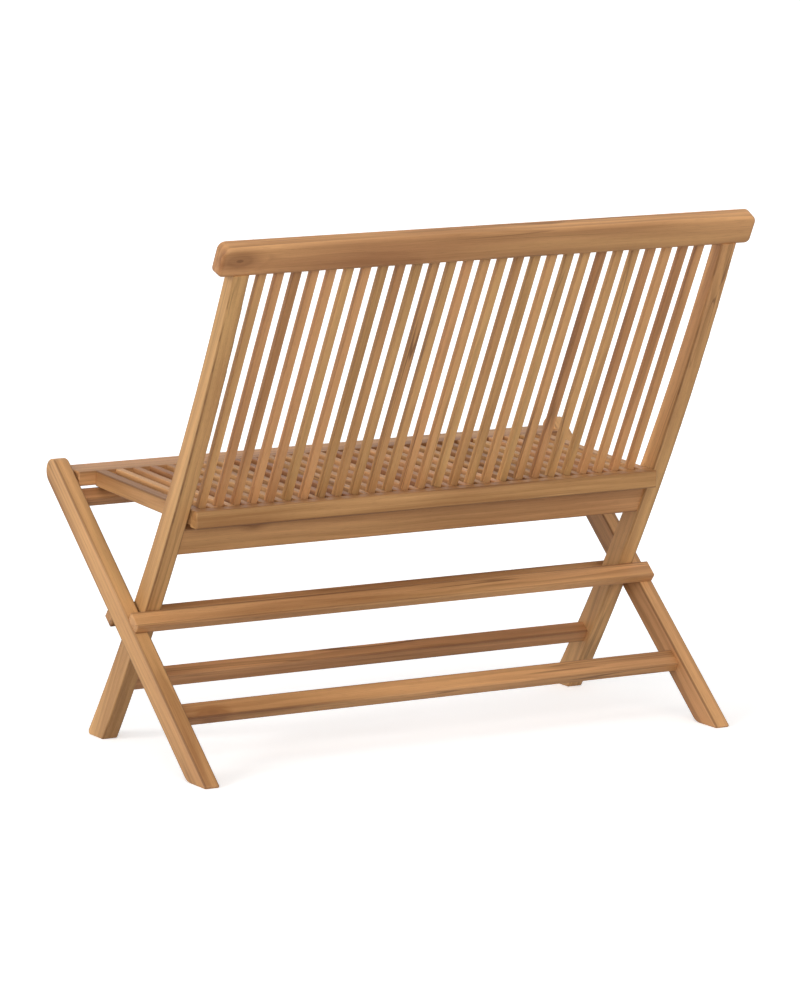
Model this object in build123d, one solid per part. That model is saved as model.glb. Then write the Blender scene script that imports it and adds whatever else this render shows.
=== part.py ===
from build123d import *
from math import asin, atan2, cos, hypot, radians, sin
import os

os.makedirs("parts", exist_ok=True)

# Millimetres. X runs across the bench, the front faces -Y, Z is up from the floor.

# Legs: straight, each crossing one back stile at the main pivot
pivot_height = 230.7
leg_angle = 40.0
leg_width = 46.0
leg_thickness = 27.0
leg_end_reach = 333.0
leg_foot_round = 30.0
leg_heel_round = 3.0

# Back stiles: curved to the front and tapering upwards
back_clear_width = 896.0
stile_thickness = 29.0
stile_tilt = 33.3
stile_radius = 4930.0
stile_foot_depth = 48.0
stile_top_depth = 28.5
stile_foot_round = 6.0

# Rails and slats of the back
top_rail_reach = 734.0
top_rail_height = 52.0
top_rail_thickness = 30.0
top_rail_overhang = 27.5
top_rail_corner = 12.0
top_rail_edge = 6.0
lower_rail_reach = 172.0
lower_rail_thickness = 24.0
lower_rail_set_back = 3.0
lower_rail_drop = 22.5
front_stretcher_reach = 147.0
front_stretcher_height = 27.0
front_stretcher_thickness = 25.0
back_slat_count = 27
back_slat_width = 14.5
back_slat_thickness = 12.0
back_slat_set_forward = 2.0

# Rails of the leg frame
front_rail_width = 26.0
front_rail_thickness = 20.0
rear_stretcher_reach = 213.0
rear_stretcher_width = 33.0
rear_stretcher_thickness = 20.0
rear_stretcher_set_back = 2.0
stop_bar_thickness = 17.0
rear_stop_bar_width = 31.5
front_stop_bar_width = 24.0
stop_bar_inset = 1.0

# Seat frame, turning about pins near the leg tops
seat_pivot_reach = 323.0
seat_tilt = 2.7
seat_front_rail_height = 25.0
seat_front_rail_ahead = 33.0
seat_front_rail_behind = 37.0
seat_front_rail_nose = 9.0
seat_side_rail_height = 27.0
seat_side_rail_thickness = 20.0
seat_rear_rail_height = 30.0
seat_rear_rail_depth = 24.0
seat_slat_width = 14.0
seat_slat_height = 20.0

# Hardware
bolt_radius = 5.0
bolt_head_radius = 9.0
bolt_head_height = 4.5
bolt_socket = 3.2
bolt_grip = 17.0
insert_radius = 7.5
insert_length = 20.0
washer_radius = 11.0
washer_thickness = 2.5
seat_pin_radius = 5.0
seat_pin_in_rail = 35.0
seat_pin_in_leg = 20.0
dowel_radius = 4.0
dowel_half_length = 11.0

# Joinery
rail_tenon = 15.0
rail_shoulder = 5.0
slat_housing = 12.0
seat_tenon = 12.0
seat_tenon_width = 9.0
seat_tenon_height = 10.0
top_tenon = 24.0
top_tenon_width = 16.0
top_tenon_thickness = 14.0
edge_ease = 2.5
slat_ease = 2.0

# Clearances
joint_fit = 0.1
press_fit = 0.02
running_fit = 0.05
side_play = 0.3
stop_gap = 0.5
seat_rest_gap = 0.6
front_rail_gap = 0.8
rear_rail_gap = 13.0

# Angles in radians
leg_a = radians(leg_angle)
stile_a = radians(stile_tilt)
seat_a = radians(seat_tilt)


def arc_axis(s):
    """Side-view point of the stile axis, measured from the pivot, at arc length s above it."""
    t = stile_a - s / stile_radius
    return (stile_radius * (cos(t) - cos(stile_a)), stile_radius * (sin(stile_a) - sin(t)))


stile_foot = (stile_a - asin(sin(stile_a) + pivot_height / stile_radius)) * stile_radius


def half_depth(s):
    """Half the depth of a stile at arc length s above the pivot."""
    share = (s - stile_foot) / (top_rail_reach - stile_foot)
    return (stile_foot_depth + (stile_top_depth - stile_foot_depth) * share) / 2


# Straight line of the back from the lower rail to the top rail
low_y, low_z = arc_axis(lower_rail_reach)
high_y, high_z = arc_axis(top_rail_reach)
back_a = atan2(high_y - low_y, high_z - low_z)
back_length = hypot(high_y - low_y, high_z - low_z)

# The depth is centred on the origin: seat nose in front, top rail behind
seat_y = -seat_pivot_reach * cos(leg_a)
seat_z = seat_pivot_reach * sin(leg_a)
nose_flat = seat_front_rail_height / 2 - seat_front_rail_nose
front_reach = seat_y - (seat_front_rail_ahead - seat_front_rail_nose) * cos(seat_a)
front_reach = front_reach - nose_flat * sin(seat_a) - seat_front_rail_nose
rear_reach = high_y + (top_rail_height / 2 - top_rail_edge) * sin(back_a)
rear_reach = rear_reach + (top_rail_thickness / 2 - top_rail_edge) * cos(back_a) + top_rail_edge
pivot_y = -(front_reach + rear_reach) / 2

# Places across the bench
stile_inner = back_clear_width / 2
stile_outer = stile_inner + stile_thickness
leg_inner = stile_outer + washer_thickness + side_play
leg_outer = leg_inner + leg_thickness
slat_pitch = back_clear_width / (back_slat_count + 1)
side_gap = slat_pitch - back_slat_width / 2
side_rail_outer = stile_inner - (side_gap - seat_side_rail_thickness) / 2
side_rail_inner = side_rail_outer - seat_side_rail_thickness
seat_front_end = leg_inner - washer_thickness - side_play

# Working planes: x across, y to the rear, z along the named direction
leg_plane = Plane(
    origin=(0, pivot_y, pivot_height), x_dir=(1, 0, 0), z_dir=(0, sin(leg_a), cos(leg_a))
)
back_plane = Plane(
    origin=(0, pivot_y + low_y, pivot_height + low_z),
    x_dir=(1, 0, 0),
    z_dir=(0, sin(back_a), cos(back_a)),
)
seat_plane = Plane(
    origin=(0, pivot_y + seat_y, pivot_height + seat_z),
    x_dir=(1, 0, 0),
    z_dir=(0, sin(seat_a), cos(seat_a)),
)
foot_y, foot_z = arc_axis(-front_stretcher_reach)
foot_a = stile_a + front_stretcher_reach / stile_radius
foot_plane = Plane(
    origin=(0, pivot_y + foot_y, pivot_height + foot_z),
    x_dir=(1, 0, 0),
    z_dir=(0, sin(foot_a), cos(foot_a)),
)


def block(x0, x1, y0, y1, z0, z1):
    """Rectangular block between two corners."""
    return Pos((x0 + x1) / 2, (y0 + y1) / 2, (z0 + z1) / 2) * Box(x1 - x0, y1 - y0, z1 - z0)


def rod(radius, x0, x1, y=0.0, z=0.0):
    """Round bar along X."""
    return Pos((x0 + x1) / 2, y, z) * Rot(0, 90, 0) * Cylinder(radius, x1 - x0)


def slab(edges, x0, x1):
    """Side-view outline in a plane's y and z, given thickness from x0 to x1."""
    return extrude(Plane.YZ.offset(x0) * make_face(edges), x1 - x0, dir=(1, 0, 0))


def both_ends(shape):
    """The shape and its mirror image on the other side of the bench."""
    return [shape, mirror(shape, about=Plane.YZ)]


def ease_ends(shape, radius):
    """Round the rims of the two end faces across the bench."""
    groups = shape.edges().group_by(Axis.X)
    return fillet(groups[0] + groups[-1], radius)


def crossbar(half_length, y0, y1, z0, z1, tenon_y, tenon_z, tenon_length):
    """Rail across the bench with eased edges and a tenon at each end, in its own plane."""
    rail = block(-half_length, half_length, y0, y1, z0, z1)
    rail = fillet(rail.edges().filter_by(Axis.X), edge_ease)
    yc = (y0 + y1) / 2
    zc = (z0 + z1) / 2
    reach = half_length + tenon_length
    return rail + block(-reach, reach, yc - tenon_y, yc + tenon_y, zc - tenon_z, zc + tenon_z)


def mortise(face_x, yc, zc, tenon_y, tenon_z, tenon_length):
    """Pocket for a crossbar tenon, cut outwards from the face at face_x."""
    y = tenon_y + joint_fit
    z = tenon_z + joint_fit
    return block(face_x - 1, face_x + tenon_length + side_play, yc - y, yc + y, zc - z, zc + z)


# Leg frame, in the leg plane: y down the leg, z square to it
half_leg = leg_width / 2
toe = (pivot_height - half_leg * cos(leg_a)) / sin(leg_a)
heel = (pivot_height + half_leg * cos(leg_a)) / sin(leg_a)

side_drop = seat_side_rail_height - seat_front_rail_height / 2
lean = leg_a - seat_a
front_rail_half = front_rail_thickness / 2
front_rail_clear = front_rail_half * cos(lean) + side_drop + front_rail_gap
front_rail_at = front_rail_clear / sin(lean) + front_rail_width / 2 - seat_pivot_reach
front_tenon_y = front_rail_width / 2 - rail_shoulder
front_tenon_z = front_rail_half - rail_shoulder
upper_front_rail = leg_plane * crossbar(
    leg_inner,
    front_rail_at - front_rail_width / 2,
    front_rail_at + front_rail_width / 2,
    -front_rail_half,
    front_rail_half,
    front_tenon_y,
    front_tenon_z,
    rail_tenon,
)

stretcher_half = rear_stretcher_thickness / 2
rear_tenon_y = rear_stretcher_width / 2 - rail_shoulder
rear_tenon_z = stretcher_half - rail_shoulder
rear_stretcher = leg_plane * crossbar(
    leg_inner,
    rear_stretcher_reach - rear_stretcher_width / 2,
    rear_stretcher_reach + rear_stretcher_width / 2,
    rear_stretcher_set_back - stretcher_half,
    rear_stretcher_set_back + stretcher_half,
    rear_tenon_y,
    rear_tenon_z,
    rail_tenon,
)

# Stop bars lie on the leg edges, their inner sides cut along the stile edges
stop_z = half_leg + stop_bar_thickness
stop_half = half_depth(-stop_z) + stop_gap
skew = leg_a - stile_a


def stile_side(z):
    """Distance down the leg from the pivot to the line of a stile edge, with the stop gap."""
    along = (z - stop_half * sin(skew)) / cos(skew)
    return stop_half * cos(skew) - along * sin(skew)


def stop_bar(sign, width):
    """Stop bar on the rear (1) or front (-1) edges of the legs."""
    near = stile_side(half_leg)
    far = stile_side(stop_z)
    points = [
        (sign * near, sign * half_leg),
        (sign * (near + width), sign * half_leg),
        (sign * (near + width), sign * stop_z),
        (sign * far, sign * stop_z),
    ]
    half_length = leg_outer - stop_bar_inset
    bar = slab(Polyline(*points, close=True), -half_length, half_length)
    bar = fillet(bar.edges().filter_by(Axis.X), edge_ease)
    return ease_ends(bar, slat_ease)


leg_middle = (leg_inner + leg_outer) / 2
rear_dowel_y = stile_side(half_leg) + rear_stop_bar_width / 2
front_dowel_y = -stile_side(half_leg) - front_stop_bar_width / 2


def stop_dowel(y, z, radius, half_length):
    """Dowel, or its hole, standing square to a leg edge."""
    return Pos(leg_middle, y, z) * Cylinder(radius, 2 * half_length)


rear_hole = stop_dowel(rear_dowel_y, half_leg, dowel_radius + running_fit, dowel_half_length + side_play)
front_hole = stop_dowel(front_dowel_y, -half_leg, dowel_radius + running_fit, dowel_half_length + side_play)
rear_dowel = stop_dowel(rear_dowel_y, half_leg, dowel_radius, dowel_half_length)
front_dowel = stop_dowel(front_dowel_y, -half_leg, dowel_radius, dowel_half_length)
stop_bar_rear = leg_plane * (stop_bar(1, rear_stop_bar_width) - both_ends(rear_hole))
stop_bar_front = leg_plane * (stop_bar(-1, front_stop_bar_width) - both_ends(front_hole))
stop_bar_dowels = Compound(
    children=[leg_plane * d for d in both_ends(rear_dowel) + both_ends(front_dowel)]
)

leg_outline = [
    Line((toe, -half_leg), (-leg_end_reach, -half_leg)),
    ThreePointArc((-leg_end_reach, -half_leg), (-leg_end_reach - half_leg, 0), (-leg_end_reach, half_leg)),
    Line((-leg_end_reach, half_leg), (heel, half_leg)),
    Line((heel, half_leg), (toe, -half_leg)),
]
leg = slab(leg_outline, leg_inner, leg_outer)
foot_edges = leg.edges().filter_by(Axis.X).sort_by(Axis.Y)
leg = fillet(foot_edges[-2], leg_foot_round)
foot_edges = leg.edges().filter_by(Axis.X).sort_by(Axis.Y)
leg = fillet(foot_edges[-1], leg_heel_round)
leg = ease_ends(leg, edge_ease)
leg = leg - mortise(leg_inner, front_rail_at, 0, front_tenon_y, front_tenon_z, rail_tenon)
leg = leg - mortise(
    leg_inner, rear_stretcher_reach, rear_stretcher_set_back, rear_tenon_y, rear_tenon_z, rail_tenon
)
leg = leg - rod(insert_radius + press_fit, leg_inner - 1, leg_inner + insert_length + side_play)
leg = leg - rod(
    seat_pin_radius + running_fit, leg_inner - 1, leg_inner + seat_pin_in_leg + side_play, -seat_pivot_reach
)
leg = leg - rear_hole
leg = leg - front_hole
leg_left = leg_plane * leg
leg_right = mirror(leg_left, about=Plane.YZ)

# Main pivots: a bolt from inside through the stile into a threaded insert in the leg
head_face = stile_inner - side_play
bolt_head = rod(bolt_head_radius, head_face - bolt_head_height, head_face)
bolt_head = fillet(bolt_head.edges().group_by(Axis.X)[0], bolt_head_height / 3)
socket = extrude(Plane.YZ.offset(head_face - bolt_head_height) * RegularPolygon(bolt_socket, 6), bolt_socket)
bolt = bolt_head - socket + rod(bolt_radius, head_face, leg_inner + bolt_grip)
pivot_bolts = Compound(children=both_ends(leg_plane * bolt))

insert = rod(insert_radius, leg_inner, leg_inner + insert_length)
insert = insert - rod(bolt_radius + press_fit, leg_inner, leg_inner + insert_length)
pivot_inserts = Compound(children=both_ends(leg_plane * insert))

washer = rod(washer_radius, leg_inner - washer_thickness, leg_inner)
washer = washer - rod(bolt_radius + running_fit, leg_inner - washer_thickness, leg_inner)
seat_washer = Pos(0, -seat_pivot_reach, 0) * washer
pivot_washers = Compound(children=both_ends(leg_plane * washer) + both_ends(leg_plane * seat_washer))

# Back frame
back_front = -back_slat_set_forward - back_slat_thickness / 2
back_rear = -back_slat_set_forward + back_slat_thickness / 2
top_under = back_length - top_rail_height / 2

# The lower rail reaches up to just under the side rails of the seat
low_front = lower_rail_set_back - lower_rail_thickness / 2
low_rear = lower_rail_set_back + lower_rail_thickness / 2
corner_y = low_y - seat_y + low_front * cos(back_a)
corner_z = low_z - seat_z - low_front * sin(back_a)
corner_height = corner_y * sin(seat_a) + corner_z * cos(seat_a)
low_top = (-side_drop - seat_rest_gap - corner_height) / cos(back_a - seat_a)
low_tenon_y = lower_rail_thickness / 2 - rail_shoulder
low_tenon_z = (low_top + lower_rail_drop) / 2 - rail_shoulder
low_middle = (low_top - lower_rail_drop) / 2
lower_back_rail = crossbar(
    stile_inner, low_front, low_rear, -lower_rail_drop, low_top, low_tenon_y, low_tenon_z, rail_tenon
)

foot_tenon_y = front_stretcher_thickness / 2 - rail_shoulder
foot_tenon_z = front_stretcher_height / 2 - rail_shoulder
front_stretcher = foot_plane * crossbar(
    stile_inner,
    -front_stretcher_thickness / 2,
    front_stretcher_thickness / 2,
    -front_stretcher_height / 2,
    front_stretcher_height / 2,
    foot_tenon_y,
    foot_tenon_z,
    rail_tenon,
)


def stile_edge(s, side):
    """Side-view point on the front (-1) or rear (1) edge of a stile."""
    t = stile_a - s / stile_radius
    y, z = arc_axis(s)
    reach = side * half_depth(s)
    return (pivot_y + y + reach * cos(t), pivot_height + z - reach * sin(t))


stile_start = stile_foot - stile_foot_depth
stile_mid = (stile_start + top_rail_reach) / 2
stile_outline = [
    ThreePointArc(stile_edge(stile_start, -1), stile_edge(stile_mid, -1), stile_edge(top_rail_reach, -1)),
    Line(stile_edge(top_rail_reach, -1), stile_edge(top_rail_reach, 1)),
    ThreePointArc(stile_edge(top_rail_reach, 1), stile_edge(stile_mid, 1), stile_edge(stile_start, 1)),
    Line(stile_edge(stile_start, 1), stile_edge(stile_start, -1)),
]
stile_centre = (stile_inner + stile_outer) / 2
below_floor = block(0, leg_outer, -leg_outer, leg_outer, -leg_outer, 0)
inside_rail = back_plane * block(
    0, leg_outer, -top_rail_height, top_rail_height, top_under, top_under + 2 * top_rail_height
)
stile = slab(stile_outline, stile_inner, stile_outer) - below_floor - inside_rail
stile = fillet(stile.edges().filter_by(Axis.X).sort_by(Axis.Z)[:2], stile_foot_round)
rims = stile.edges().group_by(Axis.X)
stile = fillet(rims[0].sort_by(Axis.Z)[:-1] + rims[-1].sort_by(Axis.Z)[:-1], edge_ease)


def top_joint(grow):
    """Tenon at the top of a stile, or the pocket for it, in the back plane."""
    x = top_tenon_width / 2 + grow
    y = top_tenon_thickness / 2 + grow
    return block(stile_centre - x, stile_centre + x, -y, y, top_under - grow, top_under + top_tenon + 3 * grow)


stile = stile + back_plane * top_joint(0)
stile = stile - back_plane * mortise(
    stile_inner, lower_rail_set_back, low_middle, low_tenon_y, low_tenon_z, rail_tenon
)
stile = stile - foot_plane * mortise(stile_inner, 0, 0, foot_tenon_y, foot_tenon_z, rail_tenon)
stile_left = stile - leg_plane * rod(bolt_radius + running_fit, stile_inner - 1, stile_outer + 1)
stile_right = mirror(stile_left, about=Plane.YZ)

# Slats stand in housings cut in the two back rails
slat_places = [(i - (back_slat_count - 1) / 2) * slat_pitch for i in range(back_slat_count)]
slat_bottom = low_top - slat_housing
slat_top = top_under + slat_housing


def back_slat(x):
    """One slat of the back with eased edges."""
    half = back_slat_width / 2
    slat = block(x - half, x + half, back_front, back_rear, slat_bottom, slat_top)
    return back_plane * fillet(slat.edges().filter_by(Axis.Z), slat_ease)


def slat_pocket(x, z0, z1):
    """Housing for the end of one back slat."""
    half = back_slat_width / 2 + joint_fit
    return block(x - half, x + half, back_front - joint_fit, back_rear + joint_fit, z0, z1)


low_pockets = [slat_pocket(x, slat_bottom - joint_fit, low_top + 1) for x in slat_places]
top_pockets = [slat_pocket(x, top_under - 1, slat_top + joint_fit) for x in slat_places]
lower_back_rail = back_plane * (lower_back_rail - low_pockets)

top_rail_half = stile_outer + top_rail_overhang
top_board = extrude(
    Plane.XZ.offset(-top_rail_thickness / 2)
    * Pos(0, back_length, 0)
    * RectangleRounded(2 * top_rail_half, top_rail_height, top_rail_corner),
    top_rail_thickness,
)
top_faces = top_board.edges().group_by(Axis.Y)
top_board = fillet(top_faces[0] + top_faces[-1], top_rail_edge)
top_rail = back_plane * (top_board - top_pockets - both_ends(top_joint(joint_fit)))

# Seat frame, in the seat plane: y to the rear along the seat, z square to it
seat_top = seat_front_rail_height / 2
slat_rear_y = low_y - seat_y + back_rear * cos(back_a)
slat_rear_z = low_z - seat_z - back_rear * sin(back_a)
level = slat_rear_y * sin(seat_a) + slat_rear_z * cos(seat_a)
reach = slat_rear_y * cos(seat_a) - slat_rear_z * sin(seat_a)
tan_lean = sin(back_a - seat_a) / cos(back_a - seat_a)
rear_rail_face = reach + (seat_top - level) * tan_lean + rear_rail_gap
front_rail_face = seat_front_rail_behind


def seat_bar(x0, x1, height):
    """Bar from the front rail to the rear rail of the seat, with a tenon at each end."""
    bar = block(x0, x1, front_rail_face, rear_rail_face, seat_top - height, seat_top)
    bar = fillet(bar.edges().filter_by(Axis.Y), slat_ease)
    return bar + seat_joint((x0 + x1) / 2, 0)


def seat_joint(x, grow):
    """Tenons of a seat bar, or the pockets for them."""
    w = seat_tenon_width / 2 + grow
    h = seat_tenon_height / 2 + grow
    y0 = front_rail_face - seat_tenon - 3 * grow
    y1 = rear_rail_face + seat_tenon + 3 * grow
    return block(x - w, x + w, y0, y1, -h, h)


seat_places = [x + slat_pitch / 2 for x in slat_places[:-1]]
side_middle = (side_rail_inner + side_rail_outer) / 2
seat_pockets = [seat_joint(x, joint_fit) for x in seat_places + [-side_middle, side_middle]]

front_rail = block(
    -seat_front_end, seat_front_end, -seat_front_rail_ahead, seat_front_rail_behind, -seat_top, seat_top
)
nose = front_rail.edges().filter_by(Axis.X).group_by(Axis.Y)
front_rail = fillet(nose[0], seat_front_rail_nose)
front_rail = fillet(front_rail.edges().filter_by(Axis.X).group_by(Axis.Y)[-1], edge_ease)
front_rail = ease_ends(front_rail, slat_ease)
pin_hole = rod(seat_pin_radius + press_fit, seat_front_end - seat_pin_in_rail - side_play, seat_front_end + 1)
seat_front_rail = seat_plane * (front_rail - seat_pockets - both_ends(pin_hole))

rear_rail = block(
    -side_rail_outer,
    side_rail_outer,
    rear_rail_face,
    rear_rail_face + seat_rear_rail_depth,
    seat_top - seat_rear_rail_height,
    seat_top,
)
rear_rail = fillet(rear_rail.edges().filter_by(Axis.X), edge_ease)
rear_rail = ease_ends(rear_rail, slat_ease)
seat_rear_rail = seat_plane * (rear_rail - seat_pockets)

side_rail = seat_bar(side_rail_inner, side_rail_outer, seat_side_rail_height)
seat_side_rail_left = seat_plane * side_rail
seat_side_rail_right = mirror(seat_side_rail_left, about=Plane.YZ)

pin = rod(seat_pin_radius, seat_front_end - seat_pin_in_rail, leg_inner + seat_pin_in_leg)
pin = fillet(pin.edges().group_by(Axis.X)[0] + pin.edges().group_by(Axis.X)[-1], 1)
seat_pivot_pins = Compound(children=both_ends(seat_plane * pin))

pieces = {
    "leg_left": leg_left,
    "leg_right": leg_right,
    "upper_front_rail": upper_front_rail,
    "rear_stretcher": rear_stretcher,
    "stop_bar_rear": stop_bar_rear,
    "stop_bar_front": stop_bar_front,
    "stop_bar_dowels": stop_bar_dowels,
    "pivot_bolts": pivot_bolts,
    "pivot_inserts": pivot_inserts,
    "pivot_washers": pivot_washers,
    "stile_left": stile_left,
    "stile_right": stile_right,
    "top_rail": top_rail,
    "lower_back_rail": lower_back_rail,
    "front_stretcher": front_stretcher,
    "seat_front_rail": seat_front_rail,
    "seat_rear_rail": seat_rear_rail,
    "seat_side_rail_left": seat_side_rail_left,
    "seat_side_rail_right": seat_side_rail_right,
    "seat_pivot_pins": seat_pivot_pins,
}

for i, x in enumerate(slat_places):
    pieces[f"back_slat_{i + 1:02d}"] = back_slat(x)

# Seat slats go two to a node, always neighbours
seat_half = seat_slat_width / 2
for i in range(0, len(seat_places), 2):
    pair = [seat_plane * seat_bar(x - seat_half, x + seat_half, seat_slat_height) for x in seat_places[i : i + 2]]
    pieces[f"seat_slats_{i // 2 + 1:02d}"] = Compound(children=pair)

for name, shape in pieces.items():
    export_step(shape, os.path.join("parts", name + ".step"))
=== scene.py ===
import math

import bpy
from mathutils import Matrix, Vector


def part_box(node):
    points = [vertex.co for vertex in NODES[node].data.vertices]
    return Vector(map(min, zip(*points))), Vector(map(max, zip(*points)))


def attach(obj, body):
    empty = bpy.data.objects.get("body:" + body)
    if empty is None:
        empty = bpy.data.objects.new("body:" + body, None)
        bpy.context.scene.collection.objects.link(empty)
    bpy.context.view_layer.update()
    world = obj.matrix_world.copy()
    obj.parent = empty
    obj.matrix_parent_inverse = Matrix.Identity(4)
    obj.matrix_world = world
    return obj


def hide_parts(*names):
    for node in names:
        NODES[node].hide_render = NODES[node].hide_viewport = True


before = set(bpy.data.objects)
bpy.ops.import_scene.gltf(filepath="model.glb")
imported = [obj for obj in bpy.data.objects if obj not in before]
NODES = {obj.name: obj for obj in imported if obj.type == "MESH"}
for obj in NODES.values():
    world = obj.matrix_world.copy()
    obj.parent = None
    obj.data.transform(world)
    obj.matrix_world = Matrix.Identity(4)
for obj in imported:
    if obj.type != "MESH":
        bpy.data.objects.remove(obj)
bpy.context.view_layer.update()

bl_info = {
    "name": "Folding garden bench",
    "version": (1, 0, 0),
    "blender": (4, 5, 0),
    "location": "3D View > Sidebar > Bench",
    "description": "Dresses a folding slatted bench in solid teak and sets its studio stage",
    "category": "Object",
}

BACK_SLATS = sorted(name for name in NODES if name.startswith("back_slat"))
SEAT_SLATS = sorted(name for name in NODES if name.startswith("seat_slats"))
BRASS = ("pivot_bolts", "pivot_inserts", "pivot_washers", "seat_pivot_pins")

# Places and lengths, in metres
ACROSS = (1.0, 0.0, 0.0)
ORIGIN = (0.0, 0.0, 0.0)
SEAT_LEVEL = (0.0, 0.0, 0.43)
NO_EDGE = 9.0
EASED_EDGE = 0.0025
# Fade of the painted shade along the arrises, in from the edge
ARRIS_SHADE_FADE = (0.0042, 0.0012)
VEIN_FADE = (0.006, 0.022)
END_GRAIN_FADE = (0.009, 0.001)

# Shaping of the top rail
CORNER_STEPS = 10
EDGE_STEPS = 6
SMOOTH_ANGLE = math.radians(35.0)

# Stage
WHITE = (1.0, 1.0, 1.0, 1.0)
FLOOR_SIZE = 60.0
FLOOR_BOUNCE = (0.4, 0.4, 0.4, 1.0)
FLOOR_GLOW = 0.42
SKY_TOP_SHARE = 0.55
FRAME_WIDTH = 36.0
SIGHT = 200.0


class BenchTeakSettings(bpy.types.PropertyGroup):
    """Colours and figure of the teak."""

    pale: bpy.props.FloatVectorProperty(
        name="Pale wood", description="Lightest rosy wood", subtype="COLOR",
        size=4, min=0.0, max=1.0, default=(0.69, 0.350, 0.148, 1.0),
    )
    deep: bpy.props.FloatVectorProperty(
        name="Deep wood", description="Darkest rosy wood", subtype="COLOR",
        size=4, min=0.0, max=1.0, default=(0.29, 0.115, 0.040, 1.0),
    )
    gold: bpy.props.FloatVectorProperty(
        name="Golden wood", description="Lightest golden wood", subtype="COLOR",
        size=4, min=0.0, max=1.0, default=(0.71, 0.405, 0.162, 1.0),
    )
    umber: bpy.props.FloatVectorProperty(
        name="Umber wood", description="Darkest golden wood", subtype="COLOR",
        size=4, min=0.0, max=1.0, default=(0.31, 0.142, 0.045, 1.0),
    )
    line: bpy.props.FloatVectorProperty(
        name="Vein", description="Colour of the veins, ring lines and pores", subtype="COLOR",
        size=4, min=0.0, max=1.0, default=(0.10, 0.036, 0.012, 1.0),
    )
    heart: bpy.props.FloatProperty(
        name="Heart share", description="How far the wood lies from pale to deep", subtype="FACTOR",
        min=0.0, max=1.0, default=0.36,
    )
    ring_width: bpy.props.FloatProperty(
        name="Ring width", description="Distance between growth rings", unit="LENGTH", default=0.011,
    )
    wander: bpy.props.FloatProperty(
        name="Wander", description="How far the rings wander sideways", unit="LENGTH", default=0.020,
    )
    slat_pitch: bpy.props.FloatProperty(
        name="Slat pitch", description="Distance from one slat to the next", unit="LENGTH", default=0.032,
    )


class BenchLayoutSettings(bpy.types.PropertyGroup):
    """Slopes and sections of the parts, which the grain and the top rail follow."""

    leg_slope: bpy.props.FloatProperty(
        name="Leg slope", description="Slope of the legs from the floor", unit="ROTATION",
        default=math.radians(40.0),
    )
    leg_width: bpy.props.FloatProperty(
        name="Leg width", description="Width of the legs, seen from the side", unit="LENGTH", default=0.046,
    )
    leg_thickness: bpy.props.FloatProperty(
        name="Leg thickness", description="Thickness of the legs across the bench",
        unit="LENGTH", default=0.027,
    )
    pivot: bpy.props.FloatVectorProperty(
        name="Main pivot", description="Where the legs cross the stiles", subtype="XYZ", unit="LENGTH",
        size=3, default=(0.0, -0.04934, 0.2307),
    )
    stile_lean: bpy.props.FloatProperty(
        name="Stile lean", description="Mean lean of the stiles from upright", unit="ROTATION",
        default=math.radians(30.5),
    )
    stile_thickness: bpy.props.FloatProperty(
        name="Stile thickness", description="Thickness of the stiles across the bench",
        unit="LENGTH", default=0.029,
    )
    stile_depth: bpy.props.FloatProperty(
        name="Stile depth", description="Depth of the stiles at the main pivot",
        unit="LENGTH", default=0.0425,
    )
    stile_bow: bpy.props.FloatVectorProperty(
        name="Stile bow",
        description="Slope and bend of the stiles' middle line, and taper of half their depth",
        size=3, precision=5, default=(0.0489, -0.1014, -0.0096),
    )
    foot_lean: bpy.props.FloatProperty(
        name="Foot lean", description="Lean of the stile feet from upright", unit="ROTATION",
        default=math.radians(35.0),
    )
    back_lean: bpy.props.FloatProperty(
        name="Back lean", description="Lean of the back slats from upright", unit="ROTATION",
        default=math.radians(28.04),
    )
    rail_height: bpy.props.FloatProperty(
        name="Top rail height", description="Height of the top rail", unit="LENGTH", default=0.052,
    )
    rail_thickness: bpy.props.FloatProperty(
        name="Top rail thickness", description="Thickness of the top rail", unit="LENGTH", default=0.030,
    )
    rail_corner: bpy.props.FloatProperty(
        name="Top rail corner", description="Radius of the top rail's upper corners",
        unit="LENGTH", default=0.014,
    )
    rail_heel: bpy.props.FloatProperty(
        name="Top rail heel", description="Radius of the top rail's lower corners",
        unit="LENGTH", default=0.010,
    )
    rail_lap: bpy.props.FloatProperty(
        name="Top rail lap", description="How far the top rail laps over the ends of the stiles and slats",
        unit="LENGTH", default=0.002,
    )
    rail_drop: bpy.props.FloatProperty(
        name="Top rail drop", description="How much lower the underside of the top rail is at the front",
        unit="LENGTH", default=0.005,
    )
    rail_edge: bpy.props.FloatProperty(
        name="Top rail edge", description="Radius of the top rail's edges", unit="LENGTH", default=0.0065,
    )
    side_rail_thickness: bpy.props.FloatProperty(
        name="Seat side rail thickness", description="Thickness of the seat's side rails across the bench",
        unit="LENGTH", default=0.020,
    )
    side_rail_height: bpy.props.FloatProperty(
        name="Seat side rail height", description="Height of the seat's side rails",
        unit="LENGTH", default=0.027,
    )
    seat_fall: bpy.props.FloatProperty(
        name="Seat fall", description="Fall of the seat to the rear", unit="ROTATION",
        default=math.radians(2.7),
    )


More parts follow.
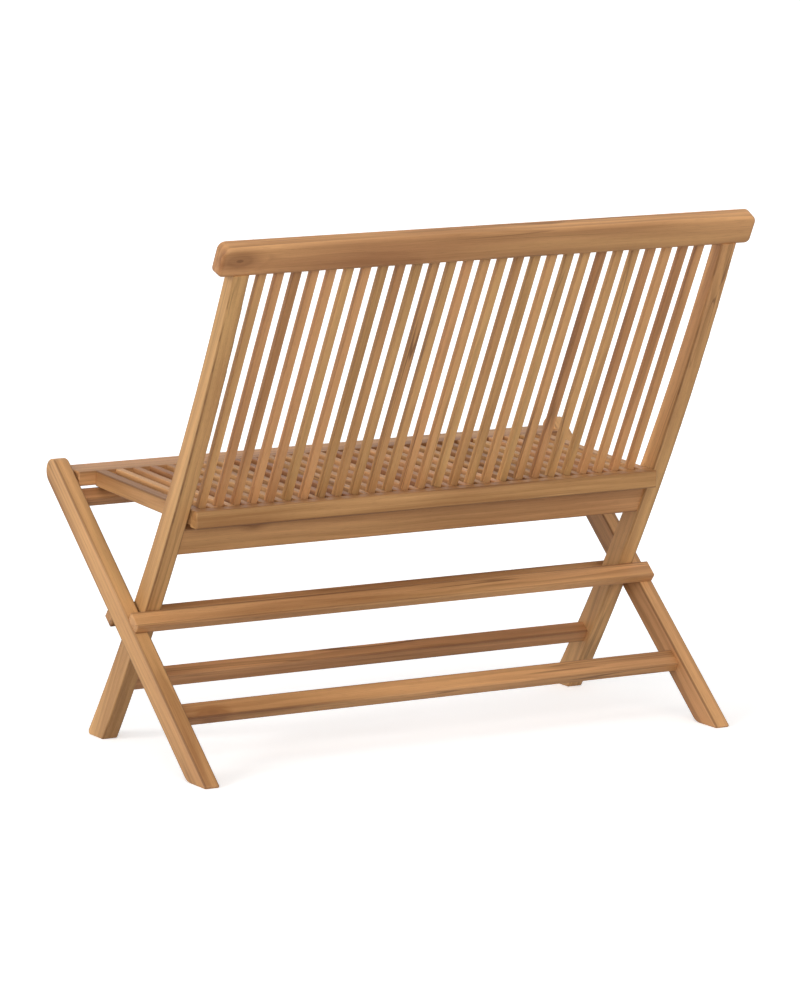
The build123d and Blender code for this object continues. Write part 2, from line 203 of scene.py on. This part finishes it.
class BenchStageSettings(bpy.types.PropertyGroup):
    """Camera and light."""

    eye: bpy.props.FloatVectorProperty(
        name="Camera place", description="Where the camera stands", subtype="XYZ", unit="LENGTH",
        size=3, default=(4.31944, 7.63477, 1.83190),
    )
    turn: bpy.props.FloatProperty(
        name="Camera turn", description="Angle of the view round the bench, from straight behind",
        unit="ROTATION", default=math.radians(29.5093),
    )
    pitch: bpy.props.FloatProperty(
        name="Camera pitch", description="Angle of the view below level", unit="ROTATION",
        default=math.radians(9.2736),
    )
    lens: bpy.props.FloatProperty(
        name="Lens", description="Focal length on a 36 mm frame, in millimetres", default=188.2,
    )
    key: bpy.props.FloatProperty(
        name="Key lamp", description="Strength of the soft lamp on the left", default=1.45,
    )
    fill: bpy.props.FloatProperty(
        name="Fill lamp", description="Strength of the soft lamp behind the bench", default=1.75,
    )
    sky: bpy.props.FloatProperty(
        name="Room light", description="Strength of the light of the room near the horizon", default=0.72,
    )


def wire(tree, kind, feeds=(), **options):
    """Add a node, set its options, and feed its inputs with sockets or plain values."""
    node = tree.nodes.new(kind)
    for option, value in options.items():
        setattr(node, option, value)
    for key, value in dict(feeds).items():
        if isinstance(value, bpy.types.NodeSocket):
            tree.links.new(value, node.inputs[key])
        else:
            node.inputs[key].default_value = value
    return node


def maths(tree, operation, *values):
    """One sum on plain numbers or sockets."""
    return wire(tree, "ShaderNodeMath", enumerate(values), operation=operation).outputs[0]


def vector_maths(tree, operation, *values):
    """One sum on vectors."""
    node = wire(tree, "ShaderNodeVectorMath", enumerate(values), operation=operation)
    return node.outputs["Value" if operation == "LENGTH" else "Vector"]


def smooth_range(tree, value, low, high, to_low=0.0, to_high=1.0):
    """Smooth step of a value from one range to another."""
    feeds = enumerate((value, low, high, to_low, to_high))
    return wire(tree, "ShaderNodeMapRange", feeds, interpolation_type="SMOOTHSTEP").outputs[0]


def unit_clamp(tree, value):
    """A value held between nought and one."""
    return maths(tree, "MINIMUM", maths(tree, "MAXIMUM", value, 0.0), 1.0)


def noise(tree, vector, along, across, detail=2.0, rough=0.5):
    """Noise with so many waves per metre along and across the grain: its value and its colour."""
    place = vector_maths(tree, "MULTIPLY", vector, (along, across, across))
    feeds = {"Vector": place, "Scale": 1.0, "Detail": detail, "Roughness": rough}
    node = wire(tree, "ShaderNodeTexNoise", feeds)
    return node.outputs[0], node.outputs[1]


def tint(tree, share, first, second):
    """Mix of two colours."""
    feeds = {0: share, 6: first, 7: second}
    return wire(tree, "ShaderNodeMix", feeds, data_type="RGBA", clamp_result=True).outputs[2]


def teak_group(teak):
    """Solid teak: tones and streaks along the grain, faint rings, veins, pores, painted shade on the arrises
    and one knot.
    """
    group = bpy.data.node_groups.new("Solid teak", "ShaderNodeTree")
    sockets = (
        ("Place", "NodeSocketVector"), ("Pith", "NodeSocketVector"), ("Seed", "NodeSocketFloat"),
        ("Tone", "NodeSocketFloat"), ("Gold", "NodeSocketFloat"), ("Knot", "NodeSocketVector"),
        ("Knot size", "NodeSocketFloat"), ("Half", "NodeSocketVector"), ("Bow", "NodeSocketVector"),
    )
    for name, kind in sockets:
        group.interface.new_socket(name, in_out="INPUT", socket_type=kind)
    results = (("Color", "NodeSocketColor"), ("Roughness", "NodeSocketFloat"), ("Height", "NodeSocketFloat"))
    for name, kind in results:
        group.interface.new_socket(name, in_out="OUTPUT", socket_type=kind)
    source = group.nodes.new("NodeGroupInput")
    result = group.nodes.new("NodeGroupOutput")
    place = source.outputs["Place"]
    seed = source.outputs["Seed"]
    shift = wire(group, "ShaderNodeCombineXYZ", {0: seed, 1: seed, 2: 0.0})
    grain = vector_maths(group, "ADD", place, shift.outputs[0])

    # A knot pushes the rings aside and darkens its middle
    to_knot = vector_maths(group, "SUBTRACT", place, source.outputs["Knot"])
    to_knot = vector_maths(group, "MULTIPLY", to_knot, (0.45, 1.0, 1.0))
    knot_size = source.outputs["Knot size"]
    knot_away = maths(group, "DIVIDE", vector_maths(group, "LENGTH", to_knot), knot_size)
    knot_push = maths(group, "MULTIPLY", smooth_range(group, knot_away, 3.0, 0.3), knot_size)
    knot_rise = smooth_range(group, knot_away, 0.55, 0.95)
    knot_ring = maths(group, "MULTIPLY", knot_rise, smooth_range(group, knot_away, 1.5, 1.0))
    knot_core = smooth_range(group, knot_away, 0.5, 0.2)
    knot_dark = maths(group, "MAXIMUM", knot_core, maths(group, "MULTIPLY", knot_ring, 0.35))
    knot_shade = smooth_range(group, knot_away, 3.4, 0.8)

    # Rings round the pith, wandering along the board
    sway = vector_maths(group, "SUBTRACT", noise(group, grain, 1.9, 13.0)[1], (0.5, 0.5, 0.5))
    sway = vector_maths(group, "MULTIPLY", sway, (0.0, 2 * teak.wander, 2 * teak.wander))
    across = vector_maths(group, "ADD", vector_maths(group, "SUBTRACT", place, source.outputs["Pith"]), sway)
    across = vector_maths(group, "MULTIPLY", across, (0.0, 1.0, 1.0))
    radius = maths(group, "ADD", vector_maths(group, "LENGTH", across), knot_push)
    phase = maths(group, "FRACT", maths(group, "DIVIDE", radius, teak.ring_width))
    early = smooth_range(group, phase, 0.1, 0.85)
    late = maths(group, "MULTIPLY", early, smooth_range(group, phase, 1.0, 0.88))

    # Tone along the board, streaks, fibres and pores
    broad = noise(group, grain, 1.4, 16.0, 2.5)[0]
    streak = noise(group, grain, 1.9, 55.0, 2.5)[0]
    fibre = noise(group, grain, 10.0, 650.0, 3.0, 0.6)[0]
    pore = smooth_range(group, noise(group, grain, 45.0, 1900.0, 1.0)[0], 0.60, 0.72)
    patch = smooth_range(group, noise(group, grain, 1.2, 30.0)[0], 0.46, 0.66)

    # Thin dark veins where one slow wave crosses its middle
    beside = vector_maths(group, "ADD", grain, (3.7, 1.9, 5.3))
    wave = noise(group, beside, 1.1, 38.0, rough=0.45)[0]
    crossing = maths(group, "ABSOLUTE", maths(group, "SUBTRACT", wave, 0.5))
    vein = maths(group, "MULTIPLY", smooth_range(group, crossing, 0.020, 0.002), patch)

    # Painted shade on the arrises, darker where both sides of the board's section are near; a bowed board
    # bends and tapers
    spot = wire(group, "ShaderNodeSeparateXYZ", {0: place})
    half = wire(group, "ShaderNodeSeparateXYZ", {0: source.outputs["Half"]})
    bow = wire(group, "ShaderNodeSeparateXYZ", {0: source.outputs["Bow"]})
    bend = maths(group, "ADD", bow.outputs[0], maths(group, "MULTIPLY", bow.outputs[1], spot.outputs[0]))
    square = maths(group, "SUBTRACT", spot.outputs[2], maths(group, "MULTIPLY", bend, spot.outputs[0]))
    reach = maths(group, "ADD", half.outputs[2], maths(group, "MULTIPLY", bow.outputs[2], spot.outputs[0]))
    flat = maths(group, "SUBTRACT", half.outputs[1], maths(group, "ABSOLUTE", spot.outputs[1]))
    deep = maths(group, "SUBTRACT", reach, maths(group, "ABSOLUTE", square))
    near = [smooth_range(group, side, *ARRIS_SHADE_FADE) for side in (flat, deep)]
    painted_arris_shade = maths(group, "MULTIPLY", near[0], near[1])
    painted_arris_shade = maths(group, "MULTIPLY", painted_arris_shade, smooth_range(group, streak, 0.32, 0.60, 0.2, 1.0))

    # End grain drinks the oil and shows no veins
    inside = maths(group, "SUBTRACT", half.outputs[0], maths(group, "ABSOLUTE", spot.outputs[0]))
    vein = maths(group, "MULTIPLY", vein, smooth_range(group, inside, *VEIN_FADE))
    end_grain = smooth_range(group, inside, *END_GRAIN_FADE)

    # How deep the tone is, how golden, and the dark marks on it, among them the painted shade on the arrises
    depth = maths(group, "ADD", source.outputs["Tone"], teak.heart)
    for part, share in ((knot_shade, 0.45), (end_grain, 0.35)):
        depth = maths(group, "ADD", depth, maths(group, "MULTIPLY", part, share))
    for part, share in ((broad, 1.9), (streak, 0.8), (fibre, 0.45)):
        swing = maths(group, "SUBTRACT", part, 0.5)
        depth = maths(group, "ADD", depth, maths(group, "MULTIPLY", swing, share))
    depth = unit_clamp(group, maths(group, "ADD", depth, maths(group, "MULTIPLY", late, 0.13)))
    rosy = tint(group, depth, teak.pale, teak.deep)
    golden = tint(group, depth, teak.gold, teak.umber)
    hue = maths(group, "SUBTRACT", noise(group, grain, 1.1, 12.0)[0], 0.5)
    turn = maths(group, "ADD", maths(group, "MULTIPLY", hue, 2.2), source.outputs["Gold"])
    body = tint(group, unit_clamp(group, turn), rosy, golden)
    marks = maths(group, "MULTIPLY", late, maths(group, "MULTIPLY", patch, 0.22))
    # The painted arris shade is laid on with the veins, pores and knot
    for mark, share in ((vein, 0.7), (painted_arris_shade, 0.62), (pore, 0.28), (knot_dark, 0.62)):
        marks = maths(group, "MAXIMUM", marks, maths(group, "MULTIPLY", mark, share))
    colour = tint(group, marks, body, teak.line)

    rough = maths(group, "ADD", 0.46, maths(group, "MULTIPLY", fibre, 0.16))
    height = maths(group, "SUBTRACT", maths(group, "MULTIPLY", fibre, 0.5), pore)
    height = maths(group, "SUBTRACT", height, maths(group, "MULTIPLY", late, 0.3))
    group.links.new(colour, result.inputs["Color"])
    group.links.new(rough, result.inputs["Roughness"])
    group.links.new(height, result.inputs["Height"])
    return group


def grain_turn(along, lean):
    """Turn of a board whose grain runs across the bench, leaning, or from front to rear or upwards."""
    x = Vector(along).normalized()
    y = Vector(ACROSS) if abs(x.x) < 0.5 else Vector((0.0, math.cos(lean), -math.sin(lean)))
    z = x.cross(y).normalized()
    y = z.cross(x)
    return Matrix((x, y, z)).transposed().to_euler()


def slat_figure(tree, where, teak, first_edge, tone, seed):
    """Figure of a row of slats, drawn anew for each one by its place across the bench."""
    side = wire(tree, "ShaderNodeSeparateXYZ", {0: where}).outputs[0]
    row = maths(tree, "ADD", maths(tree, "DIVIDE", side, teak.slat_pitch), first_edge)
    count = maths(tree, "ADD", maths(tree, "FLOOR", row), seed)
    draw = wire(tree, "ShaderNodeTexWhiteNoise", {"W": count}, noise_dimensions="1D")
    lots = wire(tree, "ShaderNodeSeparateColor", {0: draw.outputs[1]}).outputs
    lift = maths(tree, "MULTIPLY", maths(tree, "SUBTRACT", lots[1], 0.5), 0.6)
    hue = maths(tree, "SUBTRACT", maths(tree, "MULTIPLY", draw.outputs[0], 1.2), 0.20)
    sides = [maths(tree, "MULTIPLY", maths(tree, "SUBTRACT", lots[i], 0.5), 0.12) for i in (0, 2)]
    heart = {0: 0.0, 1: maths(tree, "ADD", side, sides[0]), 2: sides[1]}
    return {
        "Pith": wire(tree, "ShaderNodeCombineXYZ", heart).outputs[0],
        "Seed": maths(tree, "MULTIPLY", draw.outputs[0], 40.0),
        "Tone": maths(tree, "ADD", lift, tone),
        "Gold": hue,
    }


def teak_material(
    name, along, origin, pith, tone, seed, gold=0.5, knot=None, by_slat=None,
    half=(NO_EDGE, NO_EDGE, NO_EDGE), bow=(0.0, 0.0, 0.0), lean=0.0,
):
    """Teak for one board, or for a row of slats told apart by their place across the bench."""
    teak = bpy.context.scene.bench_teak
    group = bpy.data.node_groups.get("Solid teak") or teak_group(teak)
    material = bpy.data.materials.new(name)
    material.use_nodes = True
    tree = material.node_tree
    shader = tree.nodes["Principled BSDF"]
    where = tree.nodes.new("ShaderNodeTexCoord").outputs["Object"]
    turned = {"Vector": where, "Location": origin, "Rotation": grain_turn(along, lean)}
    board = wire(tree, "ShaderNodeMapping", turned, vector_type="TEXTURE")
    knot_place, knot_size = knot or ((0.0, 0.0, NO_EDGE), 0.01)
    figure = {
        "Place": board.outputs[0], "Pith": pith, "Seed": seed, "Tone": tone, "Gold": gold,
        "Knot": knot_place, "Knot size": knot_size, "Half": half, "Bow": bow,
    }
    if by_slat is not None:
        figure.update(slat_figure(tree, where, teak, by_slat, tone, seed))
    wood = wire(tree, "ShaderNodeGroup", figure, node_tree=group)
    relief = {"Height": wood.outputs["Height"], "Strength": 0.25, "Distance": 0.0004}
    bump = wire(tree, "ShaderNodeBump", relief)
    tree.links.new(wood.outputs["Color"], shader.inputs["Base Color"])
    tree.links.new(wood.outputs["Roughness"], shader.inputs["Roughness"])
    tree.links.new(bump.outputs[0], shader.inputs["Normal"])
    shader.inputs["Specular IOR Level"].default_value = 0.35
    return material


def brass_material():
    """Plain turned brass with fine lathe lines and a little tarnish."""
    material = bpy.data.materials.new("Turned brass")
    material.use_nodes = True
    tree = material.node_tree
    shader = tree.nodes["Principled BSDF"]
    where = tree.nodes.new("ShaderNodeTexCoord").outputs["Object"]
    cloud = noise(tree, where, 160.0, 160.0, 3.0)[0]
    lathe = noise(tree, where, 4000.0, 90.0, 1.0)[0]
    colour = tint(tree, cloud, (0.62, 0.44, 0.17, 1.0), (0.38, 0.25, 0.10, 1.0))
    rough = maths(tree, "ADD", 0.24, maths(tree, "MULTIPLY", cloud, 0.2))
    bump = wire(tree, "ShaderNodeBump", {"Height": lathe, "Strength": 0.2, "Distance": 0.0002})
    tree.links.new(colour, shader.inputs["Base Color"])
    tree.links.new(rough, shader.inputs["Roughness"])
    tree.links.new(bump.outputs[0], shader.inputs["Normal"])
    shader.inputs["Metallic"].default_value = 1.0
    return material


def dress(node, material):
    """Put a finish on every material slot of a carried-over solid."""
    slots = NODES[node].material_slots
    if not slots:
        raise RuntimeError(f"{node} has no material slot")
    for slot in slots:
        slot.material = material


def pick_edges(piece, test):
    """Go into edit mode with only the edges selected whose two end points pass a test."""
    bpy.ops.object.mode_set(mode="EDIT")
    bpy.ops.mesh.select_mode(type="EDGE")
    bpy.ops.mesh.select_all(action="DESELECT")
    bpy.ops.object.mode_set(mode="OBJECT")
    points = piece.data.vertices
    for edge in piece.data.edges:
        edge.select = test(points[edge.vertices[0]].co, points[edge.vertices[1]].co)
    bpy.ops.object.mode_set(mode="EDIT")


def middle(node):
    """Middle of a node's box."""
    low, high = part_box(node)
    return (low + high) / 2


def crossbar(node, lean, half_depth, pith, tone, seed, gold, knot=None):
    """Teak for a leaning bar across the bench, its section found from its box and its depth."""
    low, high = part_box(node)
    rise = (high.z - low.z) / 2 - EASED_EDGE - (half_depth - EASED_EDGE) * math.sin(lean)
    half = (NO_EDGE, half_depth, rise / math.cos(lean) + EASED_EDGE)
    name = node.replace("_", " ") + " teak"
    dress(node, teak_material(name, ACROSS, middle(node), pith, tone, seed, gold, knot, half=half, lean=lean))


class BenchLegs(bpy.types.Operator):
    """Give the two crossing legs their teak"""

    bl_idname = "bench.legs"
    bl_label = "Legs"

    def execute(self, context):
        layout = context.scene.bench_layout
        along = (0.0, math.cos(layout.leg_slope), -math.sin(layout.leg_slope))
        half = (NO_EDGE, layout.leg_thickness / 2, layout.leg_width / 2)
        for node, name, pith, tone, seed, gold in (
            ("leg_left", "Leg left teak", (0.0, 0.03, 0.05), 0.03, 3.1, 0.75),
            ("leg_right", "Leg right teak", (0.0, -0.05, 0.03), -0.14, 7.7, 0.3),
        ):
            heart = Vector(layout.pivot)
            heart.x = middle(node).x
            dress(node, teak_material(name, along, heart, pith, tone, seed, gold, half=half))
        return {"FINISHED"}


class BenchLegRails(bpy.types.Operator):
    """Give the rails, stop bars and dowels of the leg frame their teak"""

    bl_idname = "bench.leg_rails"
    bl_label = "Leg rails"

    def execute(self, context):
        slope = context.scene.bench_layout.leg_slope
        boards = (
            ("upper_front_rail", 0.013, (0.0, 0.05, 0.03), 0.12, 1.3, 0.2, None),
            ("rear_stretcher", 0.0165, (0.0, -0.03, 0.04), 0.0, 5.9, 0.35, ((0.425, 0.008, 0.004), 0.006)),
            ("stop_bar_rear", 0.0155, (0.0, 0.035, -0.03), -0.06, 9.4, 0.3, None),
            ("stop_bar_front", 0.0118, (0.0, 0.06, 0.02), 0.05, 2.6, 0.5, None),
        )
        for node, half_depth, pith, tone, seed, gold, knot in boards:
            crossbar(node, slope, half_depth, pith, tone, seed, gold, knot)
        dowels = "stop_bar_dowels"
        pith = (0.0, 0.02, 0.02)
        dress(dowels, teak_material("stop bar dowels teak", ACROSS, middle(dowels), pith, 0.0, 4.2))
        return {"FINISHED"}


class BenchStiles(bpy.types.Operator):
    """Give the two curved back stiles their teak"""

    bl_idname = "bench.stiles"
    bl_label = "Stiles"

    def execute(self, context):
        layout = context.scene.bench_layout
        along = (0.0, math.sin(layout.stile_lean), math.cos(layout.stile_lean))
        half = (NO_EDGE, layout.stile_thickness / 2, layout.stile_depth / 2)
        bow = layout.stile_bow
        for node, name, pith, tone, seed, gold in (
            ("stile_left", "Stile left teak", (0.0, 0.045, 0.03), 0.06, 6.2, 1.0),
            ("stile_right", "Stile right teak", (0.0, -0.03, -0.05), -0.26, 8.8, 0.35),
        ):
            heart = Vector(layout.pivot)
            heart.x = middle(node).x
            dress(node, teak_material(name, along, heart, pith, tone, seed, gold, half=half, bow=bow))
        return {"FINISHED"}


class BenchTopRail(bpy.types.Operator):
    """Shape the top rail as one board with round corners and soft edges"""

    bl_idname = "bench.top_rail"
    bl_label = "Top rail"

    def execute(self, context):
        layout = context.scene.bench_layout
        low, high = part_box("top_rail")
        bpy.ops.object.select_all(action="DESELECT")
        bpy.ops.mesh.primitive_cube_add(size=1.0)
        rail = context.active_object
        rail.name = "Top_rail_board"
        rail.scale = (high.x - low.x, layout.rail_thickness, layout.rail_height)
        bpy.ops.object.transform_apply(location=False, rotation=False, scale=True)
        face = layout.rail_thickness / 2

        # The underside laps over the stiles, and its front edge hangs lower
        pick_edges(rail, lambda a, b: max(a.z, b.z) < 0.0)
        bpy.ops.transform.translate(value=(0.0, 0.0, -layout.rail_lap))
        pick_edges(rail, lambda a, b: max(a.y, b.y, a.z, b.z) < 0.0)
        bpy.ops.transform.translate(value=(0.0, 0.0, -layout.rail_drop))

        # Round corners at both ends, then soft edges on the front and rear faces
        for side, radius in ((1.0, layout.rail_corner), (-1.0, layout.rail_heel)):
            pick_edges(rail, lambda a, b: abs(a.y - b.y) > face and min(a.z * side, b.z * side) > 0.0)
            bpy.ops.mesh.bevel(offset=radius, segments=CORNER_STEPS, affect="EDGES")
            bpy.ops.object.mode_set(mode="OBJECT")
        pick_edges(rail, lambda a, b: abs(a.y + b.y) > 1.99 * face)
        bpy.ops.mesh.bevel(offset=layout.rail_edge, segments=EDGE_STEPS, affect="EDGES")
        bpy.ops.object.mode_set(mode="OBJECT")

        rail.rotation_euler.x = -layout.back_lean
        rail.location = middle("top_rail")
        bpy.ops.object.transform_apply()
        bpy.ops.object.shade_smooth_by_angle(angle=SMOOTH_ANGLE)
        pith = (0.0, -0.06, 0.02)
        knot = ((0.472, 0.0142, -0.0042), 0.009)
        half = ((high.x - low.x) / 2, NO_EDGE, NO_EDGE)
        heart = middle("top_rail")
        teak = teak_material("Top rail teak", ACROSS, heart, pith, -0.17, 2.2, 0.05, knot, half=half)
        rail.data.materials.append(teak)
        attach(rail, "back")
        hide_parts("top_rail")
        return {"FINISHED"}


class BenchBackRails(bpy.types.Operator):
    """Give the lower back rail and front stretcher their teak"""

    bl_idname = "bench.back_rails"
    bl_label = "Back rails"

    def execute(self, context):
        layout = context.scene.bench_layout
        knot = ((0.315, 0.008, 0.022), 0.005)
        crossbar("lower_back_rail", layout.back_lean, 0.012, (0.0, 0.05, 0.06), 0.06, 7.1, 0.25, knot)
        crossbar("front_stretcher", layout.foot_lean, 0.0125, (0.0, 0.04, -0.05), 0.14, 3.8, -0.1)
        return {"FINISHED"}


class BenchBackSlats(bpy.types.Operator):
    """Give the slats of the back their teak, each with its own tone"""

    bl_idname = "bench.back_slats"
    bl_label = "Back slats"

    def execute(self, context):
        lean = context.scene.bench_layout.back_lean
        along = (0.0, math.sin(lean), math.cos(lean))
        teak = teak_material("Back slat teak", along, ORIGIN, ORIGIN, -0.12, 11.0, by_slat=0.5)
        for node in BACK_SLATS:
            dress(node, teak)
        return {"FINISHED"}


class BenchSeatFrame(bpy.types.Operator):
    """Give the rails of the seat their teak"""

    bl_idname = "bench.seat_frame"
    bl_label = "Seat frame"

    def execute(self, context):
        layout = context.scene.bench_layout
        fall = layout.seat_fall
        along = (0.0, math.cos(fall), -math.sin(fall))
        crossbar("seat_front_rail", fall, 0.035, (0.0, 0.02, 0.06), 0.14, 4.9, 0.3)
        crossbar("seat_rear_rail", fall, 0.012, (0.0, 0.03, 0.05), 0.20, 1.9, 0.95)
        half = (NO_EDGE, layout.side_rail_thickness / 2, layout.side_rail_height / 2)
        for node, pith, tone, seed in (
            ("seat_side_rail_left", (0.0, 0.05, 0.03), 0.26, 8.1),
            ("seat_side_rail_right", (0.0, 0.04, -0.04), 0.02, 2.9),
        ):
            name = node.replace("_", " ") + " teak"
            dress(node, teak_material(name, along, middle(node), pith, tone, seed, 0.3, half=half))
        return {"FINISHED"}


class BenchSeatSlats(bpy.types.Operator):
    """Give the slats of the seat their teak, each with its own tone"""

    bl_idname = "bench.seat_slats"
    bl_label = "Seat slats"

    def execute(self, context):
        fall = context.scene.bench_layout.seat_fall
        along = (0.0, math.cos(fall), -math.sin(fall))
        # The seat slats' deeper tone is part wood tone and part painted shade, for the shade they lie in
        # under the back
        teak = teak_material("Slatted seat teak", along, SEAT_LEVEL, ORIGIN, 0.28, 23.0, by_slat=0.0)
        for node in SEAT_SLATS:
            dress(node, teak)
        return {"FINISHED"}


class BenchHardware(bpy.types.Operator):
    """Give the bolts, inserts, washers and pins their brass"""

    bl_idname = "bench.hardware"
    bl_label = "Hardware"

    def execute(self, context):
        brass = brass_material()
        for node in BRASS:
            dress(node, brass)
        return {"FINISHED"}


class BenchStage(bpy.types.Operator):
    """Set the pale floor, the soft light and the camera"""

    bl_idname = "bench.stage"
    bl_label = "Stage"

    def execute(self, context):
        stage = context.scene.bench_stage
        bpy.ops.object.select_all(action="DESELECT")
        bpy.ops.mesh.primitive_plane_add(size=FLOOR_SIZE)
        floor = context.active_object
        floor.name = "Floor"
        floor.data.materials.append(self.floor_material())

        world = bpy.data.worlds.new("Pale room")
        context.scene.world = world
        world.use_nodes = True
        tree = world.node_tree
        back = tree.nodes["Background"]
        back.inputs["Color"].default_value = WHITE
        seen = self.seen_rays(tree)
        gaze = tree.nodes.new("ShaderNodeTexCoord").outputs["Generated"]
        height = wire(tree, "ShaderNodeSeparateXYZ", {0: gaze}).outputs[2]
        fade = (height, 0.0, 0.9, stage.sky, stage.sky * SKY_TOP_SHARE)
        lit = wire(tree, "ShaderNodeMapRange", enumerate(fade))
        level = wire(tree, "ShaderNodeMix", {0: seen, 2: lit.outputs[0], 3: 1.0})
        tree.links.new(level.outputs[0], back.inputs["Strength"])

        for name, strength, spread, way in (
            ("Key lamp", stage.key, 30.0, (0.93, 0.05, 0.36)),
            ("Fill lamp", stage.fill, 60.0, (0.30, 0.92, 0.22)),
        ):
            bpy.ops.object.light_add(type="SUN")
            lamp = context.active_object
            lamp.name = name
            lamp.data.energy = strength
            lamp.data.angle = math.radians(spread)
            lamp.rotation_euler = Vector(way).to_track_quat("Z", "Y").to_euler()

        bpy.ops.object.camera_add()
        camera = context.active_object
        camera.name = "Camera"
        camera.data.lens = stage.lens
        camera.data.sensor_width = FRAME_WIDTH
        camera.data.clip_end = SIGHT
        camera.location = stage.eye
        flat = math.cos(stage.pitch)
        toward = Vector((math.sin(stage.turn) * flat, math.cos(stage.turn) * flat, math.sin(stage.pitch)))
        camera.rotation_euler = toward.to_track_quat("Z", "Y").to_euler()
        context.scene.camera = camera
        context.scene.view_settings.view_transform = "Standard"
        return {"FINISHED"}

    def seen_rays(self, tree):
        """One where the ray comes from the camera, a gloss or a glass."""
        path = tree.nodes.new("ShaderNodeLightPath")
        gloss = maths(tree, "MAXIMUM", path.outputs["Is Glossy Ray"], path.outputs["Is Transmission Ray"])
        return maths(tree, "MAXIMUM", path.outputs["Is Camera Ray"], gloss)

    def floor_material(self):
        """Matt white floor that keeps a soft shadow."""
        material = bpy.data.materials.new("Pale floor")
        material.use_nodes = True
        tree = material.node_tree
        shader = tree.nodes["Principled BSDF"]
        seen = self.seen_rays(tree)
        colour = tint(tree, seen, FLOOR_BOUNCE, WHITE)
        tree.links.new(colour, shader.inputs["Base Color"])
        shader.inputs["Roughness"].default_value = 1.0
        shader.inputs["Specular IOR Level"].default_value = 0.0
        shader.inputs["Emission Color"].default_value = WHITE
        tree.links.new(maths(tree, "MULTIPLY", seen, FLOOR_GLOW), shader.inputs["Emission Strength"])
        return material


PIECES = (
    BenchLegs, BenchLegRails, BenchStiles, BenchTopRail, BenchBackRails, BenchBackSlats,
    BenchSeatFrame, BenchSeatSlats, BenchHardware, BenchStage,
)
SETTINGS = (
    ("bench_teak", BenchTeakSettings),
    ("bench_layout", BenchLayoutSettings),
    ("bench_stage", BenchStageSettings),
)


class BenchPanel(bpy.types.Panel):
    """Sidebar panel with the pieces of the bench"""

    bl_idname = "VIEW3D_PT_bench"
    bl_label = "Folding bench"
    bl_space_type = "VIEW_3D"
    bl_region_type = "UI"
    bl_category = "Bench"

    def draw(self, context):
        for piece in PIECES:
            self.layout.operator(piece.bl_idname)
        for name, group in SETTINGS:
            settings = getattr(context.scene, name)
            for key in group.__annotations__:
                self.layout.prop(settings, key)


def register():
    """Make the settings, the operators and the panel known."""
    for name, group in SETTINGS:
        bpy.utils.register_class(group)
        setattr(bpy.types.Scene, name, bpy.props.PointerProperty(type=group))
    for piece in PIECES:
        bpy.utils.register_class(piece)
    bpy.utils.register_class(BenchPanel)


def unregister():
    """Take them away again."""
    bpy.utils.unregister_class(BenchPanel)
    for piece in reversed(PIECES):
        bpy.utils.unregister_class(piece)
    for name, group in reversed(SETTINGS):
        delattr(bpy.types.Scene, name)
        bpy.utils.unregister_class(group)


def main():
    """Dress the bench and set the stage."""
    register()
    bpy.ops.bench.legs()
    bpy.ops.bench.leg_rails()
    bpy.ops.bench.stiles()
    bpy.ops.bench.top_rail()
    bpy.ops.bench.back_rails()
    bpy.ops.bench.back_slats()
    bpy.ops.bench.seat_frame()
    bpy.ops.bench.seat_slats()
    bpy.ops.bench.hardware()
    bpy.ops.bench.stage()


if __name__ == "__main__":
    main()
